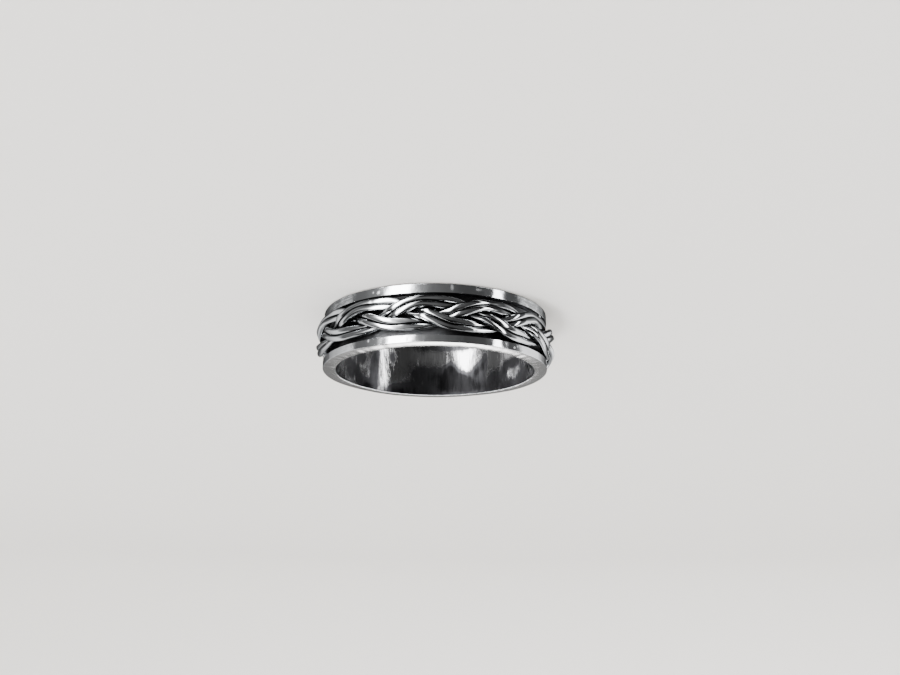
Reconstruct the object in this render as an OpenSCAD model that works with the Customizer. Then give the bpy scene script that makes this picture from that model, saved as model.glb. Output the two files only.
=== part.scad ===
// Silver band ring with a plaited channel. Millimetres.
// The ring lies on the rim at z = 0, its axis is +Z, and azimuth 0 of the plait faces -Y.

/* [Band] */
// Inside diameter of the finger hole
bore_d = 19; // [15:0.1:23]
// Thickness of the rims, from the finger hole to their outer faces
rim_t = 1.36; // [1:0.01:2.5]
// Width of the rim that the ring lies on
lower_rim_w = 0.99; // [0.5:0.01:3]
// Width of the rim at the other end
upper_rim_w = 0.83; // [0.5:0.01:3]
// Metal left under the channel
floor_t = 0.7; // [0.5:0.01:1.2]
// Rounding of the rims' outer edges
rim_edge_r = 0.12; // [0.05:0.01:0.3]
// Rounding of the channel's two lips
lip_r = 0.06; // [0.03:0.01:0.15]
// Rounding of the finger hole's two edges
bore_edge_r = 0.15; // [0.05:0.01:0.3]

/* [Plait] */
// Thickness of the plaited wire
wire_d = 0.55; // [0.4:0.01:0.7]
// Space between the two wires of a strand
wire_gap = 0.05; // [0.03:0.01:0.12]
// How many times a strand goes to and fro around the ring
waves = 4; // [3:1:6]
// Space between the channel's floor and the lowest wire
seat_gap = 0.05; // [0.03:0.01:0.15]
// Space between the plait and each wall of the channel
side_gap = 0.25; // [0.1:0.01:0.6]
// Share of that space that the plait's lean takes up
lean_share = 0.7; // [0:0.05:0.8]

/* [Hidden] */
// Shape of the plait, in widths of a strand's pair of wires: how far a strand swings from
// side to side and in and out, with the pair as the unit
SWAY_SHARE = 1.76;
SWING_SHARE = 0.55;
// How straight a strand runs before it turns along the edge
EDGE_RUN = 0.12;
// Degrees by which a strand comes to the edge early and leaves it late
EDGE_LEAD = 9.2;
// How long a strand stays on top, and the degrees by which it sinks early
TOP_HOLD = 1;
TOP_LEAD = -17.2;
// Degrees by which a pair of wires rolls as it crosses
PAIR_ROLL = -19;
// Sides of a wire, and sections along it
WIRE_SIDES = 8;
SECTIONS = 160;

bore_r = bore_d / 2;
rim_r = bore_r + rim_t;
floor_r = bore_r + floor_t;
pitch = wire_d + wire_gap;
sway = SWAY_SHARE * pitch;
swing = SWING_SHARE * pitch;
plait_w = 2 * sway + pitch + wire_d;
channel_w = plait_w + 2 * side_gap;
band_w = lower_rim_w + channel_w + upper_rim_w;
plait_z = lower_rim_w + channel_w / 2;
roll_lift = (cos(PAIR_ROLL * 0.5) - 1) * pitch / 2 + sin(abs(PAIR_ROLL)) * pitch / 2 * 0.34;
plait_r = floor_r + seat_gap + wire_d / 2 + swing + roll_lift;
lean = lean_share * side_gap / plait_r;

// The band: one turned piece with a channel between its two rims

// What a rounding of radius r takes off a corner at [x, y]; sx and sy point into the metal
module corner_cut(x, y, r, sx, sy) {
    translate([x, y]) scale([sx, sy]) difference() {
        translate([-r, -r]) square(2 * r);
        translate([r, r]) circle(r = r, $fn = 48);
        translate([r, -2 * r]) square([2 * r, 4 * r]);
        translate([-2 * r, r]) square([4 * r, 2 * r]);
    }
}

module band_section() {
    difference() {
        translate([bore_r, 0]) square([rim_t, band_w]);
        translate([floor_r, lower_rim_w]) square([rim_t, channel_w]);
        corner_cut(bore_r, 0, bore_edge_r, 1, 1);
        corner_cut(bore_r, band_w, bore_edge_r, 1, -1);
        corner_cut(rim_r, 0, rim_edge_r, -1, 1);
        corner_cut(rim_r, band_w, rim_edge_r, -1, -1);
        corner_cut(rim_r, lower_rim_w, lip_r, -1, -1);
        corner_cut(rim_r, lower_rim_w + channel_w, lip_r, -1, 1);
    }
}

module band() {
    color([0.86, 0.86, 0.86]) rotate_extrude($fn = 96) band_section();
}

// The plait: three strands of two wires, each a closed wave around the band

// A strand's place in its wave at turn t, 0 to 360; strands follow each other by a third
function phase(t, strand) = waves * t + 120 * strand;

// Height over the plait's middle: quick across, then long along the edge
function height(p) =
    let (q = p + EDGE_LEAD * sin(2 * p))
    -sway * (cos(q) - EDGE_RUN * cos(3 * q)) / (1 - EDGE_RUN);

// Radius: a strand comes to each edge on top of its neighbour and leaves it underneath
function radius(p) =
    let (s = sin(2 * (p + TOP_LEAD * sin(2 * p))))
    plait_r - swing * sqrt(1 + TOP_HOLD ^ 2) * s / sqrt(1 + (TOP_HOLD * s) ^ 2);

function unit(v) = v / norm(v);

function strand_point(t, strand) =
    let (p = phase(t, strand), r = radius(p))
    [-r * sin(t), -r * cos(t), height(p)];

// A strand's frame: along it, across it towards the upper rim, and outwards
function frame(t, strand) =
    let (along = unit(strand_point(t + 0.1, strand) - strand_point(t - 0.1, strand)),
         out = [-sin(t), -cos(t), 0],
         flat = unit(cross(out, along)),
         across = flat[2] < 0 ? -flat : flat,
         up = unit(cross(along, across)),
         lift = up * out < 0 ? -up : up)
    [across, lift];

// One section of a wire; side is 1 for the upper wire of the pair and -1 for the lower
function wire_section(t, strand, side) =
    let (f = frame(t, strand),
         roll = PAIR_ROLL * sin(3 * phase(t, strand)),
         c = strand_point(t, strand) + side * pitch / 2 * (cos(roll) * f[0] + sin(roll) * f[1]))
    [for (i = [0 : WIRE_SIDES - 1])
        let (a = 360 * (i + 0.5) / WIRE_SIDES,
             v = c + wire_d / 2 * (cos(a) * f[0] + sin(a) * f[1]))
        [v[0], v[1], v[2] + plait_z - lean * v[0]]];

module wire(strand, side) {
    points = [for (k = [0 : SECTIONS - 1]) each wire_section(360 * k / SECTIONS, strand, side)];
    faces = [for (k = [0 : SECTIONS - 1], i = [0 : WIRE_SIDES - 1])
        let (a = k * WIRE_SIDES, b = ((k + 1) % SECTIONS) * WIRE_SIDES, j = (i + 1) % WIRE_SIDES)
        each [[a + i, a + j, b + j], [a + i, b + j, b + i]]];
    polyhedron(points = points, faces = faces, convexity = 8);
}

module strand_1_upper_wire() {
    color([0.75, 0.76, 0.8]) wire(0, 1);
}

module strand_1_lower_wire() {
    color([0.62, 0.63, 0.68]) wire(0, -1);
}

module strand_2_upper_wire() {
    color([0.8, 0.74, 0.68]) wire(1, 1);
}

module strand_2_lower_wire() {
    color([0.68, 0.62, 0.56]) wire(1, -1);
}

module strand_3_upper_wire() {
    color([0.68, 0.78, 0.72]) wire(2, 1);
}

module strand_3_lower_wire() {
    color([0.56, 0.66, 0.6]) wire(2, -1);
}

band();
strand_1_upper_wire();
strand_1_lower_wire();
strand_2_upper_wire();
strand_2_lower_wire();
strand_3_upper_wire();
strand_3_lower_wire();
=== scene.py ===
# %% [markdown]
# # A silver band ring with a plaited channel
# The ring is a silver band with two polished rims and a sunken, blackened channel
# between them. The channel holds a plait of silver wire. The plait has three strands
# and each strand is a pair of wires, so six wires run over and under each other.
# The solids come from the CAD model. Here they get smooth surfaces, real finishes,
# a studio and a camera. The frame's unit is the metre; the ring's sizes below are in
# millimetres, as on a jeweller's bench, and are turned to metres as a mesh is made.

# %% The frame
import math

import bmesh
import bpy
import numpy as np
from mathutils import Matrix, Vector


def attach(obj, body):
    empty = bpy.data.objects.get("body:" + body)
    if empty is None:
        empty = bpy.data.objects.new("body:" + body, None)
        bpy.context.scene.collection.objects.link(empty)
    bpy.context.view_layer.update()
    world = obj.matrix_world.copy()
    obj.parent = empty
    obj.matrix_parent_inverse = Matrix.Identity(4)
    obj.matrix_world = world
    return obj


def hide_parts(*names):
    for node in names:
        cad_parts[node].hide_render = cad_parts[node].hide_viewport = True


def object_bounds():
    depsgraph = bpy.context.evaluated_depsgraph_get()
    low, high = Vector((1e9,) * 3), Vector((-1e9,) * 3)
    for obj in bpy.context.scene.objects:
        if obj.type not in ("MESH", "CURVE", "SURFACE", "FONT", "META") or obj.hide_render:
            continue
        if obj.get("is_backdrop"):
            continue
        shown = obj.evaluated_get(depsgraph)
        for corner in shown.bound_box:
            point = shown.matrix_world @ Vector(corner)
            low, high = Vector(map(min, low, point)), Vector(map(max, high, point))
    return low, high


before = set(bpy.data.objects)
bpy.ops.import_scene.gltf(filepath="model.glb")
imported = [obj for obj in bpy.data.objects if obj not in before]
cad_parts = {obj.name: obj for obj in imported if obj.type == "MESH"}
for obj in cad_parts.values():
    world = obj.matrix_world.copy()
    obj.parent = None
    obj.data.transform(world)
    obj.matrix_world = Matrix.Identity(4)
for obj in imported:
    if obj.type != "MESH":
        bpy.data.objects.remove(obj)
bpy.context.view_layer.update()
scene = bpy.context.scene
MM = 0.001

# %% [markdown]
# ## The sizes
# These are the CAD model's own named sizes, written once more. The smooth band and
# the wires are made from them, so they stay where the solids are. A section and a
# wave formula say all there is to say about this ring, and that leaves less to go
# wrong than a mesh pushed into place by hand.

# %% Sizes of the band
BORE_R = 9.5
RIM_T = 1.36
LOWER_RIM_W = 0.99
UPPER_RIM_W = 0.83
FLOOR_T = 0.7
RIM_EDGE_R = 0.12
LIP_R = 0.06
FILLET_R = 0.05
BORE_EDGE_R = 0.15
RIM_R = BORE_R + RIM_T
FLOOR_R = BORE_R + FLOOR_T
print(f"finger hole {2 * BORE_R:.1f} mm, band {2 * RIM_R:.2f} mm across")

# %% Sizes of the plait
WIRE_D = 0.55
WIRE_GAP = 0.05
WAVES = 4
SEAT_GAP = 0.05
SIDE_GAP = 0.25
LEAN_SHARE = 0.7
PITCH = WIRE_D + WIRE_GAP
SWAY = 1.76 * PITCH
SWING = 0.55 * PITCH
CHANNEL_W = 2 * SWAY + PITCH + WIRE_D + 2 * SIDE_GAP
BAND_W = LOWER_RIM_W + CHANNEL_W + UPPER_RIM_W
PLAIT_Z = LOWER_RIM_W + CHANNEL_W / 2
ROLL = math.radians(-19)
ROLL_LIFT = (math.cos(ROLL / 2) - 1) * PITCH / 2 + math.sin(abs(ROLL)) * PITCH / 2 * 0.34
PLAIT_R = FLOOR_R + SEAT_GAP + WIRE_D / 2 + SWING + ROLL_LIFT
LEAN = LEAN_SHARE * SIDE_GAP / PLAIT_R
print(f"band {BAND_W:.2f} mm wide, plait at radius {PLAIT_R:.2f} mm")

# %% [markdown]
# ## A closed tube of quads
# The band and a wire are the same kind of surface: a section that is carried round
# the ring and meets itself. One helper builds it from a grid of points. It writes a
# UV map, in millimetres along the piece and roughly so across it, so that polishing
# marks can run along the metal. It takes exact normals too, because a mirror finish
# shows every error of averaged ones.

# %% The tube helper
def unit(v):
    return v / np.linalg.norm(v, axis=-1, keepdims=True)


print("3 along and 4 up, cut to length 1, is", unit(np.array([3.0, 4.0])).tolist())


def closed_tube(name, grid, normals, along_mm, around_mm):
    rows, columns = grid.shape[:2]
    here = np.arange(rows * columns).reshape(rows, columns)
    ahead = np.roll(here, -1, 0)
    faces = np.stack([here, ahead, np.roll(ahead, -1, 1), np.roll(here, -1, 1)], -1)
    mesh = bpy.data.meshes.new(name)
    mesh.from_pydata((grid.reshape(-1, 3) * MM).tolist(), [], faces.reshape(-1, 4).tolist())
    u = np.linspace(0, along_mm, rows + 1)
    v = np.linspace(0, around_mm, columns + 1)
    uv = np.zeros((rows, columns, 4, 2), np.float32)
    for corner, (i, j) in enumerate(((0, 0), (1, 0), (1, 1), (0, 1))):
        uv[:, :, corner, 0] = u[i:rows + i, None]
        uv[:, :, corner, 1] = v[None, j:columns + j]
    mesh.uv_layers.new(name="millimetres").data.foreach_set("uv", uv.ravel())
    mesh.polygons.foreach_set("use_smooth", [True] * len(mesh.polygons))
    mesh.update()
    mesh.normals_split_custom_set_from_vertices(normals.reshape(-1, 3).tolist())
    piece = bpy.data.objects.new(name, mesh)
    scene.collection.objects.link(piece)
    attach(piece, "root")
    print(f"{name}: {2 * rows * columns} triangles")
    return piece


# %% [markdown]
# ## Marks of the hand
# No bench-made ring is a perfect solid of revolution. The file and the polishing
# wheel leave long shallow waves, and wear leaves dents. They are only hundredths of a
# millimetre deep, but a mirror shows them at once as wavy edges in its reflections.
# So they are real shape here: the surface moves along its normal, and the normal
# leans by the slope of that move.

# %% Waves and dents
# a wave goes at least FEWEST_TURNS times round the ring
SEED = 7
FEWEST_TURNS = 3
seeded = np.random.default_rng(SEED)
print("seeded with", SEED)


def relief(surface, normals, rise):
    lean = np.zeros_like(surface)
    for axis in (0, 1):
        run = (np.roll(surface, -1, axis) - np.roll(surface, 1, axis)) / 2
        step = (np.roll(rise, -1, axis) - np.roll(rise, 1, axis)) / 2
        lean += run * (step / (run**2).sum(-1))[..., None]
    lean -= normals * (lean * normals).sum(-1, keepdims=True)
    return surface + rise[..., None] * normals, unit(normals - lean)


def waves(turn, across, count, most_turns, slope_deg):
    rise = np.zeros(np.broadcast(turn, across).shape)
    for _ in range(count):
        turns = seeded.integers(FEWEST_TURNS, most_turns)
        per_mm = turns / RIM_R
        tilt = seeded.uniform(-1, 1) * per_mm
        height = math.tan(math.radians(slope_deg)) / math.hypot(per_mm, tilt) / math.sqrt(count / 2)
        rise += height * np.sin(turns * turn + tilt * across + seeded.uniform(0, 2 * math.pi))
    return rise


def dents(surface, places, width, depth):
    rise = np.zeros(surface.shape[:2])
    for place in places:
        size = width * seeded.uniform(0.7, 1.5)
        away = ((surface - place) ** 2).sum(-1)
        rise -= depth * size / width * np.exp(-away / (2 * size**2))
    return rise


def patches(surface, spots):
    share = np.zeros(surface.shape[:2])
    r = np.hypot(surface[..., 0], surface[..., 1])
    facing_deg = np.degrees(np.arctan2(-surface[..., 0], -surface[..., 1]))
    for turn_deg, height_mm, half_along, half_across in spots:
        along = np.radians((facing_deg - turn_deg + 180) % 360 - 180) * r / half_along
        share += np.exp(-(along**2 + ((surface[..., 2] - height_mm) / half_across) ** 2) / 2)
    return share


# %% [markdown]
# ## The band
# A band like this is turned or cast, so its section is nearly all there is to it. The
# section is walked once round: out across the narrow rim, down into the channel and
# out again, back under, and up the finger hole. Every corner is a small arc, and the
# arcs catch the light as thin bright lines. The end faces are crowned by a few
# hundredths of a millimetre, as a polisher leaves them, so light runs off round them.

# %% Arcs and runs of a section
def arc(cx, cy, r, start, end, steps, inward=False):
    a = np.radians(np.linspace(start, end, steps + 1))
    way = np.stack([np.cos(a), np.sin(a)], -1)
    return np.hstack([np.array([cx, cy]) + r * way, -way if inward else way])


def run(start, end, steps):
    s = np.linspace(0, 1, steps + 1)[1:-1, None]
    length = math.dist(start[:2], end[:2])
    leave = length * np.array([start[3], -start[2]])
    arrive = length * np.array([end[3], -end[2]])
    line = (2 * s**3 - 3 * s**2 + 1) * start[:2] + (s**3 - 2 * s**2 + s) * leave
    line = line + (3 * s**2 - 2 * s**3) * end[:2] + (s**3 - s**2) * arrive
    return np.hstack([line, unit((1 - s) * start[2:] + s * end[2:])])


print("a quarter round in 8 steps has", len(arc(0, 0, 1, 0, 90, 8)), "points")


# %% The band's section
CROWN = 0.05
CROWN_DEG = 8
low_wall = LOWER_RIM_W
high_wall = LOWER_RIM_W + CHANNEL_W
edge = RIM_R - RIM_EDGE_R
inner_edge = BORE_R + BORE_EDGE_R
corners = [
    arc(inner_edge, BAND_W - BORE_EDGE_R, BORE_EDGE_R, 180, 92, 8),
    arc(edge, BAND_W - CROWN - RIM_EDGE_R, RIM_EDGE_R, 90 - CROWN_DEG, 0, 8),
    arc(RIM_R - LIP_R, high_wall + LIP_R, LIP_R, 0, -90, 5),
    arc(FLOOR_R + FILLET_R, high_wall - FILLET_R, FILLET_R, 90, 180, 3, inward=True),
    arc(FLOOR_R + FILLET_R, low_wall + FILLET_R, FILLET_R, 180, 270, 3, inward=True),
    arc(RIM_R - LIP_R, low_wall - LIP_R, LIP_R, 90, 0, 5),
    arc(edge, CROWN + RIM_EDGE_R, RIM_EDGE_R, 0, -90 + CROWN_DEG, 8),
    arc(inner_edge, BORE_EDGE_R, BORE_EDGE_R, 268, 180, 8),
]
section = []
for corner, following, steps in zip(corners, corners[1:] + corners[:1], (8, 6, 2, 3, 2, 6, 8, 18)):
    section += [corner, run(corner[-1], following[0], steps)]
section = np.vstack(section)
print(len(section), "points round the section")

# %% The band's surface
BAND_STEPS = 900
angle = np.linspace(math.pi, 3 * math.pi, BAND_STEPS, endpoint=False)[:, None]


def turned(out, up):
    return np.stack([-np.sin(angle) * out, -np.cos(angle) * out, 0 * angle + up], -1)


surface = turned(section[:, 0], section[:, 1])
facing = turned(section[:, 2], section[:, 3])
print("band grid", surface.shape[:2])

# %% Hand work and wear on the band
# the finger hole's own waves start EDGE_KEPT mm from its ends and grow over EDGE_FADE mm
SECTION_MM = 17.5
RIM_SLACK = 0.005
HOLE_SLACK = 0.001
DENTS = 60
EDGE_KEPT = 0.2
EDGE_FADE = 0.6
level = surface[..., 2]
on_rims = np.flatnonzero(section[:, 0] > RIM_R - RIM_SLACK)
places = [surface[seeded.integers(BAND_STEPS), seeded.choice(on_rims)] for _ in range(DENTS)]
wear = waves(angle, level, count=10, most_turns=14, slope_deg=0.3)
wear = wear + waves(angle, level, count=12, most_turns=80, slope_deg=0.6)
wear += dents(surface, places, width=0.1, depth=0.003)
from_end = (0.5 - np.abs(section[:, 1] / BAND_W - 0.5)) * BAND_W
mid = np.clip(from_end - EDGE_KEPT, 0, EDGE_FADE) / EDGE_FADE
on_bore = section[:, 0] < BORE_R + HOLE_SLACK
wear += on_bore * mid * waves(angle, level, count=12, most_turns=30, slope_deg=0.9)
surface, facing = relief(surface, facing, wear - wear.max())
band = closed_tube("polished_band", surface, facing, 2 * math.pi * RIM_R, SECTION_MM)
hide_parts("band")

# %% [markdown]
# ## Stains, scuffs and a painted sheen
# Some marks are in the finish and not in the shape. The tarnish in the finger hole is
# thicker in places, and the rims have small scuffs. Mostly beside the upper rim, the
# channel's black carries painted sheen: lighter grey patches that stand in for reflected
# light. Each is a soft patch on the surface, given by the angle round the ring, the
# height, and its half size along and across in millimetres. Where two patches of tarnish
# meet, the film is thicker. The marks on the near side and across the hole follow the
# real ring, and the rest are seeded.

# %% Where the stains, scuffs and painted sheen are
# one patch reaches 1 at its middle, and patches that meet add up to THICKEST at most
THICKEST = 2
SEEDED_SCUFFS = 16
tarnish = [(163, 4.8, 1.6, 1.0), (173, 3.9, 0.9, 0.9), (152, 4.9, 1.4, 0.6), (192, 5.2, 2.2, 0.8),
           (139, 4.0, 0.6, 0.6), (205, 5.4, 1.0, 0.5), (228, 5.1, 0.8, 0.5), (159, 3.9, 0.6, 0.5),
           (177, 0.4, 2.4, 0.35), (158, 0.2, 1.5, 0.25), (147, 2.2, 0.3, 1.0), (171, 2.8, 0.4, 0.6),
           (168, 3.0, 0.4, 0.6), (150, 2.8, 0.4, 0.6), (187, 3.2, 1.5, 0.8), (208, 1.7, 0.4, 0.6),
           (242, 3.9, 1.6, 1.0), (221, 3.4, 0.45, 1.2), (219.5, 1.7, 0.35, 0.7), (232, 2.3, 0.7, 0.5),
           (124, 3.0, 1.2, 0.5), (110, 4.5, 1.0, 0.9), (127, 5.2, 1.4, 0.5), (153.5, 3.1, 0.3, 0.5),
           (163.5, 3.6, 0.4, 0.35), (131, 3.8, 0.3, 0.5), (226, 5.5, 0.6, 0.3)]
# painted sheen: lighter grey patches in the channel's black that stand in for reflected light
sheen_spots = [(-21, 4.55, 2.4, 0.3), (-6, 4.6, 1.6, 0.2), (60, 1.1, 1.5, 0.2), (170, 4.5, 2.5, 0.3)]
scuffs = [(7.8, 0.4, 0.14, 0.3), (-15.5, 4.85, 0.12, 0.1), (-16.5, 0.1, 0.1, 0.12),
          (20.6, 0.45, 0.22, 0.1), (41, 5.2, 0.12, 0.1), (43, 5.0, 0.08, 0.08),
          (-33, 4.95, 0.1, 0.15), (-28, 0.6, 0.12, 0.12), (-31, 0.5, 0.1, 0.08)]
scuffs += [(172.2, 1.7, 0.06, 0.8), (191, 1.95, 0.06, 0.4), (133.5, 3.0, 0.15, 0.6), (116, 2.9, 0.2, 0.2),
           (122, 4.0, 0.45, 0.3), (134, 3.6, 0.12, 0.4)]
scuffs += [(seeded.uniform(50, 310), seeded.choice((0.5, 5.1)) + seeded.normal(0, 0.1), 0.05,
            seeded.uniform(0.05, 0.16)) for _ in range(SEEDED_SCUFFS)]
for word, spots in (("tarnish", tarnish), ("painted_sheen", sheen_spots), ("scuffs", scuffs)):
    share = band.data.attributes.new(word, "FLOAT", "POINT")
    film = np.minimum(patches(surface, spots), THICKEST)
    share.data.foreach_set("value", film.ravel().astype(np.float32))
    print(word, len(spots), "patches")

# %% [markdown]
# ## The plait
# A strand's wave repeats four times round the ring, and the three strands follow
# each other by a third of a wave. A strand crosses quickly and then runs along the
# edge. It comes to the edge on top of its neighbour and leaves it underneath. That
# alternation is what makes a plait, so it is written as two short formulas rather
# than as a list of points: one for the height over the middle and one for the radius.

# %% [markdown]
# A plait made by hand is never quite even. Small smooth shifts, at most 0.3 mm along
# the channel and 0.1 mm across it, move neighbouring wires together, so the weave keeps
# its order. The ones on the near side were read off the real ring's lobes, and the rest
# are seeded.

# %% The unevenness of the plait
# hundredths of a millimetre: along and across, at the lower edge and at the upper edge
NEAR = [[[-9, 2], [-10, 0]], [[-10, -4], [-12, -1]], [[6, -2], [4, 0]], [[15, 3], [13, -1]],
        [[10, -2], [4, -4]], [[4, 0], [1, -2]], [[6, 2], [-2, -2]], [[4, 0], [-12, 0]],
        [[-1, -2], [-1, 1]], [[7, 1], [9, 0]], [[7, -1], [5, -1]]]
NEAR_DEG = 75
KNOT_DEG = 15
SPREAD = math.radians(13)
SEEDED_MM = (0.08, 0.03)
EDGES_APART = 1.4
PAST_EDGE = 0.3
knots_deg = np.arange(-180, 180, KNOT_DEG)
knots = np.radians(knots_deg)
shifts = seeded.normal(0, 1, (len(knots), 2, 2)) * SEEDED_MM
shifts[np.abs(knots_deg) <= NEAR_DEG] = np.array(NEAR) / 100


def by_hand(t, z):
    away = (t[:, None] - knots + math.pi) % (2 * math.pi) - math.pi
    share = np.exp(-((away / SPREAD) ** 2) / 2)
    up = np.clip(0.5 + z / EDGES_APART, -PAST_EDGE, 1 + PAST_EDGE)
    return np.einsum("ni,nj,ijk->kn", share, np.stack([1 - up, up], -1), shifts)


print("shifts at", len(knots), "places round the ring, the largest", round(np.abs(shifts).max(), 2), "mm")


# %% The wave of a strand
# how early a strand comes to the edge, how straight it runs there, how early it sinks
EDGE_LEAD = math.radians(9.2)
EDGE_RUN = 0.12
TOP_LEAD = math.radians(-17.2)


def height(p):
    q = p + EDGE_LEAD * np.sin(2 * p)
    return -SWAY * (np.cos(q) - EDGE_RUN * np.cos(3 * q)) / (1 - EDGE_RUN)


def radius(p):
    s = np.sin(2 * (p + TOP_LEAD * np.sin(2 * p)))
    return PLAIT_R - SWING * math.sqrt(2) * s / np.sqrt(1 + s**2)


def strand_line(t, strand):
    p = WAVES * t + 2 * math.pi * strand / 3
    r = radius(p)
    slip, lift = by_hand(t, height(p))
    t = t + slip / r
    return np.stack([-r * np.sin(t), -r * np.cos(t), height(p) + lift], -1)


print(f"a strand swings {2 * SWAY:.2f} mm across and {2 * SWING:.2f} mm in and out")


# %% The line and the frame of a wire
def wire_line(t, strand, side):
    step = 0.002
    along = unit(strand_line(t + step, strand) - strand_line(t - step, strand))
    outward = np.stack([-np.sin(t), -np.cos(t), 0 * t], -1)
    across = unit(np.cross(outward, along))
    across *= np.sign(across[:, 2:3])
    lift = unit(np.cross(along, across))
    lift *= np.sign((lift * outward).sum(-1, keepdims=True))
    roll = (ROLL * np.sin(3 * (WAVES * t + 2 * math.pi * strand / 3)))[:, None]
    sideways = np.cos(roll) * across + np.sin(roll) * lift
    line = strand_line(t, strand) + side * PITCH / 2 * sideways
    line[:, 2] += PLAIT_Z - LEAN * line[:, 0]
    return line, sideways, np.cos(roll) * lift - np.sin(roll) * across


print(f"a pair rolls by up to {abs(math.degrees(ROLL)):.0f} degrees as it crosses")


# %% [markdown]
# ## The wires' section
# The wire was drawn round, but the finished plait was hammered down and buffed, so
# each wire has a broad, almost flat face with tight shoulders. A squared-off ellipse
# gives that section and its exact normals. The flat faces are what turn thin glints
# into the broad patches of light that a worn plait shows. Real wires are pressed flat
# against each other where strands cross. Here the shoulders overlap there instead, by a
# twentieth of a millimetre at most, in the dark between the wires.

# %% A buffed wire's section
SQUARE = 2.7
HALF_W = WIRE_D / 2 + 0.015
HALF_H = WIRE_D / 2 + 0.006
WIRE_SIDES = 24
around = np.linspace(0, 2 * math.pi, WIRE_SIDES, endpoint=False)
cosine = np.cos(around)
sine = np.sin(around)
side_share = np.sign(cosine) * np.abs(cosine) ** (2 / SQUARE)
top_share = np.sign(sine) * np.abs(sine) ** (2 / SQUARE)
side_lean = np.sign(cosine) * np.abs(cosine) ** (2 - 2 / SQUARE) / HALF_W
top_lean = np.sign(sine) * np.abs(sine) ** (2 - 2 / SQUARE) / HALF_H
print(f"wire {2 * HALF_W:.2f} mm wide and {2 * HALF_H:.2f} mm high")

# %% [markdown]
# ## Where the buff could reach
# The whole plait was blackened and then buffed. The buff is soft but not endlessly
# so: in the gap between two wires the black stays. The largest ball that can touch a
# point of a wire without touching another wire, the floor or a wall says how well the
# buff got there. It is worked out here once for each point, as a size in millimetres,
# and the wires' finish is made from it.

# %% The ball that fits
NEAR_STEPS = 16
SUNK_MM = 0.1


def ball_size(surface, normals, others):
    r = np.hypot(surface[..., 0], surface[..., 1])
    out = (surface[..., :2] * normals[..., :2]).sum(-1) / r
    z = surface[..., 2]
    best = (r - FLOOR_R) / np.maximum(1 - out, 0.01)
    sunk = r < RIM_R - SUNK_MM
    below = (z - low_wall) / np.maximum(1 - normals[..., 2], 0.01)
    above = (high_wall - z) / np.maximum(1 + normals[..., 2], 0.01)
    best = np.where(sunk, np.minimum(best, np.minimum(below, above)), best)
    for line in others:
        for shift in range(-NEAR_STEPS, NEAR_STEPS + 1):
            away = surface - np.roll(line, shift, axis=0)[:, None, :]
            space = (away**2).sum(-1) - (WIRE_D / 2) ** 2
            slope = WIRE_D / 2 - (away * normals).sum(-1)
            best = np.where(slope > 0, np.minimum(best, space / (2 * np.maximum(slope, 1e-6))), best)
    return np.clip(best, 0, 1)


print("neighbours are looked for", NEAR_STEPS, "steps to either side")


# %% A wire's surface
def wire_surface(line, sideways, lift):
    surface = line[:, None] + HALF_W * side_share[:, None] * sideways[:, None]
    surface += HALF_H * top_share[:, None] * lift[:, None]
    facing = unit(side_lean[:, None] * sideways[:, None] + top_lean[:, None] * lift[:, None])
    if np.cross(lift[0], sideways[0]) @ (line[1] - line[0]) < 0:
        return surface[:, ::-1], facing[:, ::-1]
    return surface, facing


# %% The six wires
WIRE_STEPS = 720
WIRE_MM = 76.0
WIRE_DENTS = 40
WORN_OFF = 0.01
turn = np.linspace(math.pi, 3 * math.pi, WIRE_STEPS, endpoint=False)
ends = {(strand, side): wire_line(turn, strand, side) for strand in range(3) for side in (1, -1)}
wires = []
for (strand, side), (line, sideways, lift) in ends.items():
    word = "upper" if side > 0 else "lower"
    surface, facing = wire_surface(line, sideways, lift)
    places = [surface[seeded.integers(WIRE_STEPS), seeded.integers(WIRE_SIDES)]
              for _ in range(WIRE_DENTS)]
    wear = waves(turn[:, None], surface[..., 2], count=8, most_turns=50, slope_deg=0.9)
    wear += waves(turn[:, None], surface[..., 2], count=6, most_turns=100, slope_deg=0.4)
    wear += dents(surface, places, width=0.1, depth=0.008)
    surface, facing = relief(surface, facing, wear - WORN_OFF)
    wire = closed_tube(f"plait_{strand + 1}_{word}", surface, facing, WIRE_MM, math.pi * WIRE_D)
    others = [entry[0] for place, entry in ends.items() if place != (strand, side)]
    reach = wire.data.attributes.new("reach_mm", "FLOAT", "POINT")
    reach.data.foreach_set("value", ball_size(surface, facing, others).ravel().astype(np.float32))
    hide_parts(f"strand_{strand + 1}_{word}_wire")
    wires.append(wire)

# %% [markdown]
# ## Colours and nodes
# Colours are sRGB hex, as a colour picker shows them, and one function turns them
# into the linear values that the renderer works with. One small function adds a node,
# sets its values and joins it to others, so each finish below reads as a short list.

# %% Colour and node helpers
def linear(hex_colour):
    out = []
    for i in (0, 2, 4):
        c = int(hex_colour[i:i + 2], 16) / 255
        out.append(c / 12.92 if c <= 0.04045 else ((c + 0.055) / 1.055) ** 2.4)
    return (*out, 1.0)


def add(tree, kind, settings=None, values=None, links=None):
    node = tree.nodes.new(kind)
    for key, value in (settings or {}).items():
        setattr(node, key, value)
    for key, value in (values or {}).items():
        node.inputs[key].default_value = value
    for key, socket in (links or {}).items():
        tree.links.new(socket, node.inputs[key])
    return node


def finish(name):
    material = bpy.data.materials.new(name)
    material.use_nodes = True
    material.node_tree.nodes.clear()
    return material, material.node_tree


SOFT = {"interpolation_type": "SMOOTHSTEP"}
print("silver E4E6E8 is", [round(v, 3) for v in linear("E4E6E8")[:3]], "in linear light")

# %% [markdown]
# ## Polished silver
# The rims are 925 silver, polished on a rag wheel. Silver is the whitest of metals
# and mirrors nearly all light, so it takes its colour from the room, here a trace of
# cool grey. The wheel leaves hair-fine marks that run round the band, and handling adds
# a light haze. Real marks are a few hundredths of a millimetre apart and would vanish
# here, so they are drawn an eighth of a millimetre apart. A scuff is simply rougher.

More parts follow.
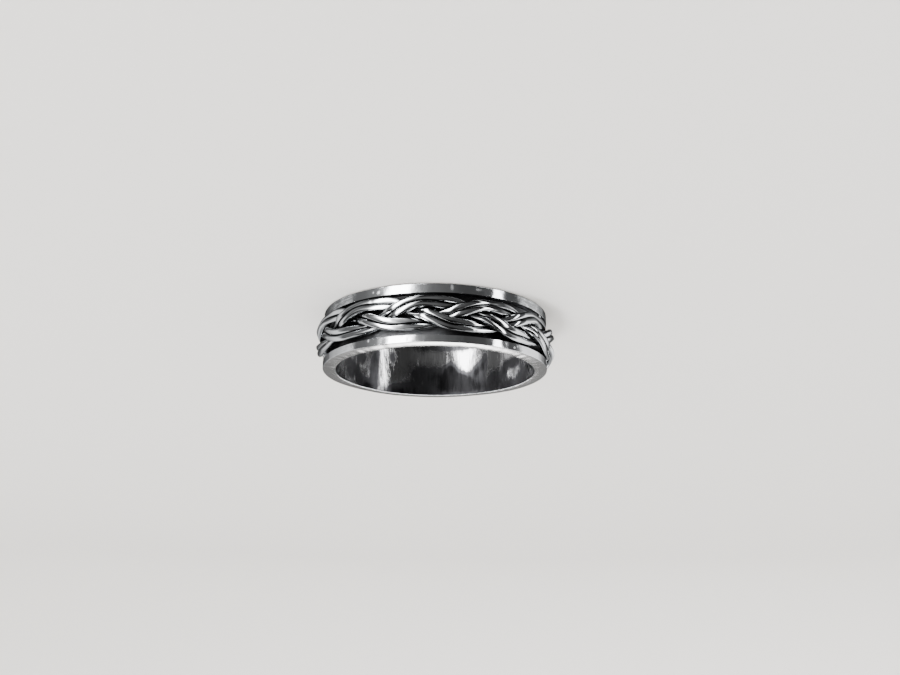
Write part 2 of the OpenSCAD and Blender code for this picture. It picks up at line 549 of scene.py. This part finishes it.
# %% Polished silver for the rims
polished, tree = finish("polished 925 silver")
mm = add(tree, "ShaderNodeUVMap", {"uv_map": "millimetres"})
marks = add(tree, "ShaderNodeMapping", values={"Scale": (0.45, 5.0, 1.0)}, links={"Vector": mm.outputs[0]})
wheel = add(tree, "ShaderNodeTexNoise", values={"Scale": 1.0, "Detail": 3.0},
            links={"Vector": marks.outputs[0]})
place = add(tree, "ShaderNodeTexCoord")
haze = add(tree, "ShaderNodeTexNoise", values={"Scale": 1700.0, "Detail": 4.0, "Roughness": 0.6},
           links={"Vector": place.outputs["Object"]})
both = add(tree, "ShaderNodeMath", {"operation": "MULTIPLY_ADD"}, {1: 1.6},
           {0: haze.outputs[0], 2: wheel.outputs[0]})
bump = add(tree, "ShaderNodeBump", values={"Strength": 1.0, "Distance": 0.000005},
           links={"Height": both.outputs[0]})
scuff = add(tree, "ShaderNodeAttribute", {"attribute_name": "scuffs"})
rubbed = add(tree, "ShaderNodeMapRange", values={1: 0.3, 2: 0.75, 3: 0.02, 4: 0.08},
             links={0: haze.outputs[0]})
rough = add(tree, "ShaderNodeMath", {"operation": "MULTIPLY_ADD"}, {1: 0.35},
            {0: scuff.outputs["Fac"], 2: rubbed.outputs[0]})
shader = add(tree, "ShaderNodeBsdfPrincipled", values={"Base Color": linear("E4E6E8"), "Metallic": 1.0},
             links={"Roughness": rough.outputs[0], "Normal": bump.outputs[0]})
add(tree, "ShaderNodeOutputMaterial", links={"Surface": shader.outputs[0]})
print(polished.name, "has", len(tree.nodes), "nodes")

# %% [markdown]
# ## Satin silver
# The end faces were rubbed flat on fine emery and then buffed. It is the same metal,
# but its surface keeps a mass of tiny scratches, so it gives a soft, even grey with
# cloudy patches where the buff bit deeper. That is a roughness of about a tenth, with
# mottling some two thirds of a millimetre across and a faint grain that runs round.

# %% Satin silver for the end faces
satin, tree = finish("satin 925 silver")
place = add(tree, "ShaderNodeTexCoord")
cloud = add(tree, "ShaderNodeTexNoise", values={"Scale": 1400.0, "Detail": 5.0, "Roughness": 0.65},
            links={"Vector": place.outputs["Object"]})
mm = add(tree, "ShaderNodeUVMap", {"uv_map": "millimetres"})
marks = add(tree, "ShaderNodeMapping", values={"Scale": (1.2, 9.0, 1.0)}, links={"Vector": mm.outputs[0]})
grain = add(tree, "ShaderNodeTexNoise", values={"Scale": 1.0, "Detail": 2.0},
            links={"Vector": marks.outputs[0]})
both = add(tree, "ShaderNodeMath", {"operation": "ADD"}, links={0: cloud.outputs[0], 1: grain.outputs[0]})
bump = add(tree, "ShaderNodeBump", values={"Strength": 1.0, "Distance": 0.000006},
           links={"Height": both.outputs[0]})
rough = add(tree, "ShaderNodeMapRange", values={1: 0.3, 2: 0.7, 3: 0.07, 4: 0.15},
            links={0: cloud.outputs[0]})
colour = add(tree, "ShaderNodeMix", {"data_type": "RGBA"}, {6: linear("E6E5E3"), 7: linear("C6C5C3")},
             {0: cloud.outputs[0]})
shader = add(tree, "ShaderNodeBsdfPrincipled", values={"Metallic": 1.0},
             links={"Base Color": colour.outputs[2], "Roughness": rough.outputs[0],
                    "Normal": bump.outputs[0]})
add(tree, "ShaderNodeOutputMaterial", links={"Surface": shader.outputs[0]})
print(satin.name, "has", len(tree.nodes), "nodes")

# %% [markdown]
# ## Worn silver in the finger hole
# The inside was polished once and has dulled against the finger. Rubbing has left
# slanting streaks across the band, about a quarter of a millimetre apart, that fray
# the edge of each reflection. Tarnish is a dull grey film, rougher and darker than the
# metal, and where it is thickest it is nearly black. The streaks and a cloudy noise are
# added to the patches before the film is cut off, so its borders are ragged.

# %% Worn, tarnished silver for the finger hole
inner, tree = finish("worn tarnished silver")
mm = add(tree, "ShaderNodeUVMap", {"uv_map": "millimetres"})
rubs = add(tree, "ShaderNodeMapping", values={"Scale": (3.6, 1.0, 1.0), "Rotation": (0, 0, 0.35)},
           links={"Vector": mm.outputs[0]})
streak = add(tree, "ShaderNodeTexNoise", values={"Scale": 1.0, "Detail": 4.0, "Roughness": 0.6},
             links={"Vector": rubs.outputs[0]})
place = add(tree, "ShaderNodeTexCoord")
cloud = add(tree, "ShaderNodeTexNoise", values={"Scale": 1100.0, "Detail": 5.0, "Roughness": 0.65},
            links={"Vector": place.outputs["Object"]})
stain = add(tree, "ShaderNodeAttribute", {"attribute_name": "tarnish"})
both = add(tree, "ShaderNodeMath", {"operation": "MULTIPLY_ADD"}, {1: 0.8},
           {0: cloud.outputs[0], 2: streak.outputs[0]})
frayed = add(tree, "ShaderNodeMath", {"operation": "MULTIPLY_ADD"}, {1: 0.9},
             {0: both.outputs[0], 2: stain.outputs["Fac"]})
dull = add(tree, "ShaderNodeMapRange", SOFT, {1: 0.9, 2: 1.6}, {0: frayed.outputs[0]})
bump = add(tree, "ShaderNodeBump", values={"Strength": 1.0, "Distance": 0.000016},
           links={"Height": both.outputs[0]})
film = add(tree, "ShaderNodeMapRange", values={3: 0.04, 4: 0.32}, links={0: dull.outputs[0]})
scuff = add(tree, "ShaderNodeAttribute", {"attribute_name": "scuffs"})
rough = add(tree, "ShaderNodeMath", {"operation": "MULTIPLY_ADD"}, {1: 0.3},
            {0: scuff.outputs["Fac"], 2: film.outputs[0]})
thick = add(tree, "ShaderNodeMapRange", SOFT, {1: 1.75, 2: 2.5}, {0: frayed.outputs[0]})
grey = add(tree, "ShaderNodeMix", {"data_type": "RGBA"}, {6: linear("BCBCBD"), 7: linear("404042")},
           {0: dull.outputs[0]})
colour = add(tree, "ShaderNodeMix", {"data_type": "RGBA"}, {7: linear("1C1C1D")},
             {0: thick.outputs[0], 6: grey.outputs[2]})
shader = add(tree, "ShaderNodeBsdfPrincipled", values={"Metallic": 1.0},
             links={"Base Color": colour.outputs[2], "Roughness": rough.outputs[0],
                    "Normal": bump.outputs[0]})
add(tree, "ShaderNodeOutputMaterial", links={"Surface": shader.outputs[0]})
print(inner.name, "has", len(tree.nodes), "nodes")

# %% [markdown]
# ## Black patina
# The channel was dipped in liver of sulphur, which turns silver's skin to black
# silver sulphide. It is a thin dull film on a cast surface: nearly black, metallic
# underneath, with the fine pitting of the casting showing through. The pits are drawn
# a fifth of a millimetre apart, coarser than real ones, so that they show.

# %% Silver sulphide patina for the channel, with a painted sheen
patina, tree = finish("black silver sulphide patina")
place = add(tree, "ShaderNodeTexCoord")
pits = add(tree, "ShaderNodeTexNoise", values={"Scale": 5200.0, "Detail": 3.0},
           links={"Vector": place.outputs["Object"]})
film = add(tree, "ShaderNodeTexNoise", values={"Scale": 900.0, "Detail": 3.0},
           links={"Vector": place.outputs["Object"]})
bump = add(tree, "ShaderNodeBump", values={"Strength": 1.0, "Distance": 0.00002},
           links={"Height": pits.outputs[0]})
rough = add(tree, "ShaderNodeMapRange", values={1: 0.3, 2: 0.7, 3: 0.32, 4: 0.5},
            links={0: film.outputs[0]})
dark = add(tree, "ShaderNodeMix", {"data_type": "RGBA"}, {6: linear("070708"), 7: linear("161617")},
           {0: film.outputs[0]})
# painted sheen: over the sheen patches the black is mixed toward a lighter grey that stands in for
# reflected light
worn = add(tree, "ShaderNodeAttribute", {"attribute_name": "painted_sheen"})
colour = add(tree, "ShaderNodeMix", {"data_type": "RGBA"}, {7: linear("5E5F61")},
             {0: worn.outputs["Fac"], 6: dark.outputs[2]})
shader = add(tree, "ShaderNodeBsdfPrincipled", values={"Metallic": 0.85},
             links={"Base Color": colour.outputs[2], "Roughness": rough.outputs[0],
                    "Normal": bump.outputs[0]})
add(tree, "ShaderNodeOutputMaterial", links={"Surface": shader.outputs[0]})
print(patina.name, "has", len(tree.nodes), "nodes")

# %% [markdown]
# ## Drawn silver wire, blackened and buffed
# The wire is drawn silver. It carries the same black film as the channel wherever the
# buff could not go, a smoky veil on its shoulders, and bright metal on its face. The
# ball size stored on the mesh drives that: under 0.06 mm is black, by 0.13 mm the
# metal shows through, and over 0.3 mm it is clean. A little noise frays the border, as
# a real buff does. The die's marks run along the wire, drawn a seventh of a millimetre
# apart.

# %% Buffed silver wire for the plait
wire_silver, tree = finish("buffed drawn silver wire")
reach = add(tree, "ShaderNodeAttribute", {"attribute_name": "reach_mm"})
place = add(tree, "ShaderNodeTexCoord")
fray = add(tree, "ShaderNodeTexNoise", values={"Scale": 1500.0, "Detail": 1.0},
           links={"Vector": place.outputs["Object"]})
shifted = add(tree, "ShaderNodeMath", {"operation": "MULTIPLY_ADD"}, {1: 0.02},
              {0: fray.outputs[0], 2: reach.outputs["Fac"]})
clean = add(tree, "ShaderNodeMapRange", SOFT, {1: 0.06, 2: 0.13}, {0: shifted.outputs[0]})
bright = add(tree, "ShaderNodeMapRange", SOFT, {1: 0.1, 2: 0.3}, {0: shifted.outputs[0]})
smoke = add(tree, "ShaderNodeMix", {"data_type": "RGBA"}, {6: linear("717273"), 7: linear("E0E2E4")},
            {0: bright.outputs[0]})
colour = add(tree, "ShaderNodeMix", {"data_type": "RGBA"}, {6: linear("080809")},
             {0: clean.outputs[0], 7: smoke.outputs[2]})
rough = add(tree, "ShaderNodeMapRange", values={3: 0.45, 4: 0.06}, links={0: clean.outputs[0]})
mm = add(tree, "ShaderNodeUVMap", {"uv_map": "millimetres"})
marks = add(tree, "ShaderNodeMapping", values={"Scale": (0.9, 7.0, 1.0)}, links={"Vector": mm.outputs[0]})
drawn = add(tree, "ShaderNodeTexNoise", values={"Scale": 1.0, "Detail": 3.0},
            links={"Vector": marks.outputs[0]})
bump = add(tree, "ShaderNodeBump", values={"Strength": 1.0, "Distance": 0.000003},
           links={"Height": drawn.outputs[0]})
shader = add(tree, "ShaderNodeBsdfPrincipled", values={"Metallic": 1.0},
             links={"Base Color": colour.outputs[2], "Roughness": rough.outputs[0],
                    "Normal": bump.outputs[0]})
add(tree, "ShaderNodeOutputMaterial", links={"Surface": shader.outputs[0]})
print(wire_silver.name, "has", len(tree.nodes), "nodes")

# %% [markdown]
# ## Which finish goes where
# The six wires share one finish. The band is a single mesh with four, so each strip of
# its section is sorted by where it lies: in the finger hole, in the channel, on an end
# face, or else on a polished rim. END_DEPTH is a little more than an end face's crown,
# and HOLE_DEPTH is how far up its rounded edges the finger hole's finish goes.

# %% The finishes handed out
END_DEPTH = 0.06
HOLE_DEPTH = 0.05
WALL_SLACK = 0.005
for wire in wires:
    wire.data.materials.append(wire_silver)
for material in (polished, satin, inner, patina):
    band.data.materials.append(material)
r = (section[:, 0] + np.roll(section[:, 0], -1)) / 2
z = (section[:, 1] + np.roll(section[:, 1], -1)) / 2
in_hole = r < BORE_R + HOLE_DEPTH
in_channel = (z > low_wall + WALL_SLACK) & (z < high_wall - WALL_SLACK) & ~in_hole
on_end = (r > inner_edge) & (r < edge) & ((z < END_DEPTH) | (z > BAND_W - END_DEPTH))
kind = np.select([in_hole, in_channel, on_end], [2, 3, 1], 0)
band.data.polygons.foreach_set("material_index", np.tile(kind, BAND_STEPS))
print("strips of the section with each finish:", np.bincount(kind).tolist())

# %% [markdown]
# ## The table
# A sheet of pale uncoated paper, flat under the ring and swept up far away, so that no
# edge and no horizon shows from any side. Its tooth is drawn about a millimetre across.
# Polished silver would mirror it and turn plain white. A product photographer keeps the
# paper out of the metal with black cards; here it is left out of the reflections.

# %% Pale uncoated paper
paper, tree = finish("pale uncoated paper")
place = add(tree, "ShaderNodeTexCoord")
tooth = add(tree, "ShaderNodeTexNoise", values={"Scale": 900.0, "Detail": 4.0},
            links={"Vector": place.outputs["Object"]})
bump = add(tree, "ShaderNodeBump", values={"Strength": 0.4, "Distance": 0.00008},
           links={"Height": tooth.outputs[0]})
shader = add(tree, "ShaderNodeBsdfPrincipled", values={"Base Color": linear("DAD8D5"), "Roughness": 0.9},
             links={"Normal": bump.outputs[0]})
add(tree, "ShaderNodeOutputMaterial", links={"Surface": shader.outputs[0]})
print(paper.name, "has", len(tree.nodes), "nodes")

# %% The sheet of paper
# these are metres, because the paper is as large as a studio's
FLAT_R = 0.35
BEND_R = 0.25
BEND_START = 0.1
BEND_STEPS = 14
WALL_TOP = 0.9
FLOOR_SIDES = 96
sweep = [(FLAT_R, 0.0)]
for a in np.linspace(BEND_START, math.pi / 2, BEND_STEPS):
    sweep.append((FLAT_R + BEND_R * math.sin(a), BEND_R - BEND_R * math.cos(a)))
sweep.append((FLAT_R + BEND_R, WALL_TOP))
bm = bmesh.new()
rings = []
for r, z in sweep:
    rings.append([bm.verts.new((r * math.cos(a), r * math.sin(a), z))
                  for a in np.linspace(0, 2 * math.pi, FLOOR_SIDES, endpoint=False)])
bm.faces.new(rings[0])
for low_ring, high_ring in zip(rings, rings[1:]):
    for i in range(FLOOR_SIDES):
        k = (i + 1) % FLOOR_SIDES
        bm.faces.new((low_ring[i], high_ring[i], high_ring[k], low_ring[k]))
for face in bm.faces:
    face.smooth = True
mesh = bpy.data.meshes.new("paper_sweep")
bm.to_mesh(mesh)
floor = bpy.data.objects.new("paper_sweep", mesh)
scene.collection.objects.link(floor)
floor.data.materials.append(paper)
floor.visible_glossy = False
floor.visible_shadow = False
floor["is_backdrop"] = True
print("paper", 2 * FLAT_R, "m across its flat part")

# %% [markdown]
# ## The studio
# Polished silver shows its surroundings and little else, so the studio gives the ring
# its look. It stands in the world shader as a brightness for each direction round the
# ring: two tall soft boxes, grey walls, and black cards between them. The side walls
# are lighter above the table's edge than below it, and less so towards the back. All
# of it fades towards the floor, so each wire has a light edge and a dark one. Behind
# the ring there is a dim haze with one bright, narrow window in it, which the flat end
# face mirrors.

# %% The surroundings of the ring
# degrees round the ring, from the side that is seen, and the brightness there
WALLS = [(-180, 0.04), (-155, 0.05), (-136, 0.11), (-116, 0.2), (-99, 0.33), (-94, 0.37),
         (-92, 0.14), (-74, 0.18), (-67, 0.25), (-61, 0.33), (-57, 0.5), (-53, 1.1), (-50, 4.0),
         (-46, 17.0), (-28, 17.0), (-24, 4.5), (-20, 1.0), (-15, 0.4), (-8, 0.22), (2, 0.16),
         (30, 0.07), (50, 0.08), (59, 0.15), (61.5, 8.5), (68, 10.0), (72, 0.4), (77, 0.1),
         (93, 0.08), (96.5, 0.54), (120, 0.54), (134, 0.3), (150, 0.07)]
# the height of a direction, -1 straight down to 1 straight up, and the window's brightness
SKY = [(-1.0, 0.0), (0.3, 0.0), (0.33, 3.2), (0.37, 8.0), (0.62, 7.0), (0.8, 0.4), (1.0, 0.1)]
world = bpy.data.worlds.new("studio")
scene.world = world
world.use_nodes = True
tree = world.node_tree
tree.nodes.clear()
place = add(tree, "ShaderNodeTexCoord")
way = add(tree, "ShaderNodeSeparateXYZ", links={0: place.outputs["Generated"]})
left = add(tree, "ShaderNodeMath", {"operation": "MULTIPLY"}, {1: -1.0}, {0: way.outputs[0]})
near = add(tree, "ShaderNodeMath", {"operation": "MULTIPLY"}, {1: -1.0}, {0: way.outputs[1]})
azimuth = add(tree, "ShaderNodeMath", {"operation": "ARCTAN2"},
              links={0: left.outputs[0], 1: near.outputs[0]})
round_share = add(tree, "ShaderNodeMapRange", values={1: -math.pi, 2: math.pi},
                  links={0: azimuth.outputs[0]})
up_share = add(tree, "ShaderNodeMapRange", values={1: -1.0, 2: 1.0}, links={0: way.outputs[2]})
print(len(WALLS), "stops round the ring and", len(SKY), "stops up the window")

# %% Two ramps of brightness
ramps = []
for share, stops, start, end in ((round_share, WALLS, -180, 180), (up_share, SKY, -1, 1)):
    ramp = add(tree, "ShaderNodeValToRGB", links={0: share.outputs[0]})
    elements = ramp.color_ramp.elements
    while len(elements) < len(stops):
        elements.new(0.5)
    most = max(v for a, v in stops)
    for element, (a, v) in zip(elements, stops):
        element.position = (a - start) / (end - start)
        element.color = (v / most, v / most, v / most, 1)
    ramps.append(add(tree, "ShaderNodeMath", {"operation": "MULTIPLY"}, {1: most}, {0: ramp.outputs[0]}))
walls, sky = ramps
print("brightest card", max(v for a, v in WALLS), "and sky", max(v for z, v in SKY))

# %% The walls
# above the table's edge the walls are lighter, less so towards the back
fade = add(tree, "ShaderNodeMapRange", SOFT, {1: 0.6, 2: 0.75, 3: 2.5, 4: 0.7}, {0: way.outputs[1]})
low = add(tree, "ShaderNodeMapRange", SOFT, {1: -0.32, 2: -0.27},
          {0: way.outputs[2], 4: fade.outputs[0]})
back = add(tree, "ShaderNodeMapRange", SOFT, {1: -0.1, 2: 0.05}, {0: way.outputs[1]})
more = add(tree, "ShaderNodeMath", {"operation": "MULTIPLY_ADD"}, {2: 1.0},
           {0: low.outputs[0], 1: back.outputs[0]})
lit = add(tree, "ShaderNodeMath", {"operation": "MULTIPLY"},
          links={0: walls.outputs[0], 1: more.outputs[0]})
# the walls end in a dark ceiling, which comes lower at the back
drop = add(tree, "ShaderNodeMath", {"operation": "MULTIPLY_ADD"}, {1: -0.4},
           {0: back.outputs[0], 2: way.outputs[2]})
roof = add(tree, "ShaderNodeMapRange", SOFT, {1: 0.25, 2: 0.6, 3: 1.0, 4: 0.12}, {0: drop.outputs[0]})
# towards the floor they fade out, sooner on one side
slant = add(tree, "ShaderNodeMath", {"operation": "MULTIPLY_ADD"}, {1: 0.25},
            {0: way.outputs[0], 2: way.outputs[2]})
deep = add(tree, "ShaderNodeMapRange", SOFT, {1: -0.56, 2: -0.9, 3: 1.0, 4: 0.1}, {0: slant.outputs[0]})
span = add(tree, "ShaderNodeMath", {"operation": "MULTIPLY"},
           links={0: roof.outputs[0], 1: deep.outputs[0]})
print("the walls end between a ceiling and a floor,", len(tree.nodes), "nodes so far")

# %% The window behind, and the studio put together
shifted = add(tree, "ShaderNodeMath", {"operation": "ADD"}, {1: 0.012}, {0: way.outputs[0]})
off_line = add(tree, "ShaderNodeMath", {"operation": "ABSOLUTE"}, links={0: shifted.outputs[0]})
gap = add(tree, "ShaderNodeMapRange", SOFT, {1: 0.045, 2: 0.14, 3: 1.0, 4: 0.04}, {0: off_line.outputs[0]})
haze = add(tree, "ShaderNodeMapRange", SOFT, {1: -0.05, 2: 0.15, 4: 0.19}, {0: way.outputs[2]})
side = add(tree, "ShaderNodeMapRange", SOFT, {1: 0.0, 2: 0.3}, {0: way.outputs[1]})
over = add(tree, "ShaderNodeMath", {"operation": "MULTIPLY_ADD"},
           links={0: gap.outputs[0], 1: sky.outputs[0], 2: haze.outputs[0]})
rear = add(tree, "ShaderNodeMath", {"operation": "MULTIPLY"},
           links={0: over.outputs[0], 1: side.outputs[0]})
total = add(tree, "ShaderNodeMath", {"operation": "MULTIPLY_ADD"},
            links={0: lit.outputs[0], 1: span.outputs[0], 2: rear.outputs[0]})
light = add(tree, "ShaderNodeBackground", values={"Color": (1, 1, 1, 1)},
            links={"Strength": total.outputs[0]})
add(tree, "ShaderNodeOutputWorld", links={"Surface": light.outputs[0]})
print("the studio has", len(tree.nodes), "nodes")


# %% [markdown]
# ## The lamps
# The studio lights the metal, but paper needs lamps of its own. A small soft key at the
# front gives the ring its shadow, and a wide fill overhead keeps the paper even. Both
# stay out of the reflections, so no lamp shows in the silver.

# %% The lamps over the table
def lamp(name, place, size, energy):
    light = bpy.data.lights.new(name, "AREA")
    light.shape = "DISK"
    light.size = size
    light.energy = energy
    holder = bpy.data.objects.new(name, light)
    holder.location = place
    holder.rotation_mode = "QUATERNION"
    holder.rotation_quaternion = Vector(place).to_track_quat("Z", "Y")
    holder.visible_glossy = False
    scene.collection.objects.link(holder)
    print(name, "at", place)


lamp("soft key", place=(0.16, -0.22, 0.38), size=0.12, energy=1.7)
lamp("overhead fill", place=(0.0, 0.0, 0.8), size=1.0, energy=6.0)

# %% [markdown]
# ## The camera
# The ring lies on its wider rim and is seen from 15.9 degrees above the table, into
# its open end. The picture is turned by half a turn, so the open end is at the bottom.
# Distances are in outer radii of the ring: nine away gives the right amount of
# perspective, and a hair aside and down centres it. The lens is a focal length of 1008
# pixels in a frame 900 wide, and the small shift, in pixels too, puts the ring where it
# is in the frame.

# %% The camera
FRAME_PX = 900
FOCAL_PX = 1008
SHIFT_X_PX = 14
SHIFT_Y_PX = 5
RING_R = RIM_R * MM
DISTANCE = 9.051
ASIDE = -0.0077
LOWER = -0.03
ELEVATION_DEG = 15.88
TILT_DEG = -0.47
elevation = math.radians(ELEVATION_DEG)
tilt = math.radians(TILT_DEG)
centre = Vector((0, 0, BAND_W / 2 * MM))
away = Vector((0, -math.cos(elevation), math.sin(elevation)))
right = Vector((1, 0, 0))
up = away.cross(right)
eye = centre + (away * DISTANCE + right * ASIDE + up * LOWER) * RING_R
cam_x = -(right * math.cos(tilt) - up * math.sin(tilt))
cam_y = -(right * math.sin(tilt) + up * math.cos(tilt))
cam_z = cam_x.cross(cam_y)
axes = Matrix((cam_x, cam_y, cam_z)).transposed().to_4x4()
camera = bpy.data.cameras.new("camera")
camera.sensor_width = 36.0
camera.lens = FOCAL_PX / FRAME_PX * camera.sensor_width
camera.shift_x = SHIFT_X_PX / FRAME_PX
camera.shift_y = SHIFT_Y_PX / FRAME_PX
camera.clip_start = 0.005
camera.clip_end = 5.0
holder = bpy.data.objects.new("camera", camera)
holder.matrix_world = Matrix.Translation(eye) @ axes
scene.collection.objects.link(holder)
scene.camera = holder
print("camera", [round(v / MM, 1) for v in eye], "z axis", [round(v, 3) for v in cam_z])

# %% [markdown]
# ## Measuring up
# The finished ring's box is printed here in millimetres.

# %% The visual box
low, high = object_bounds()
print("visual box in mm:", [round(v / MM, 2) for v in (*low, *high)])
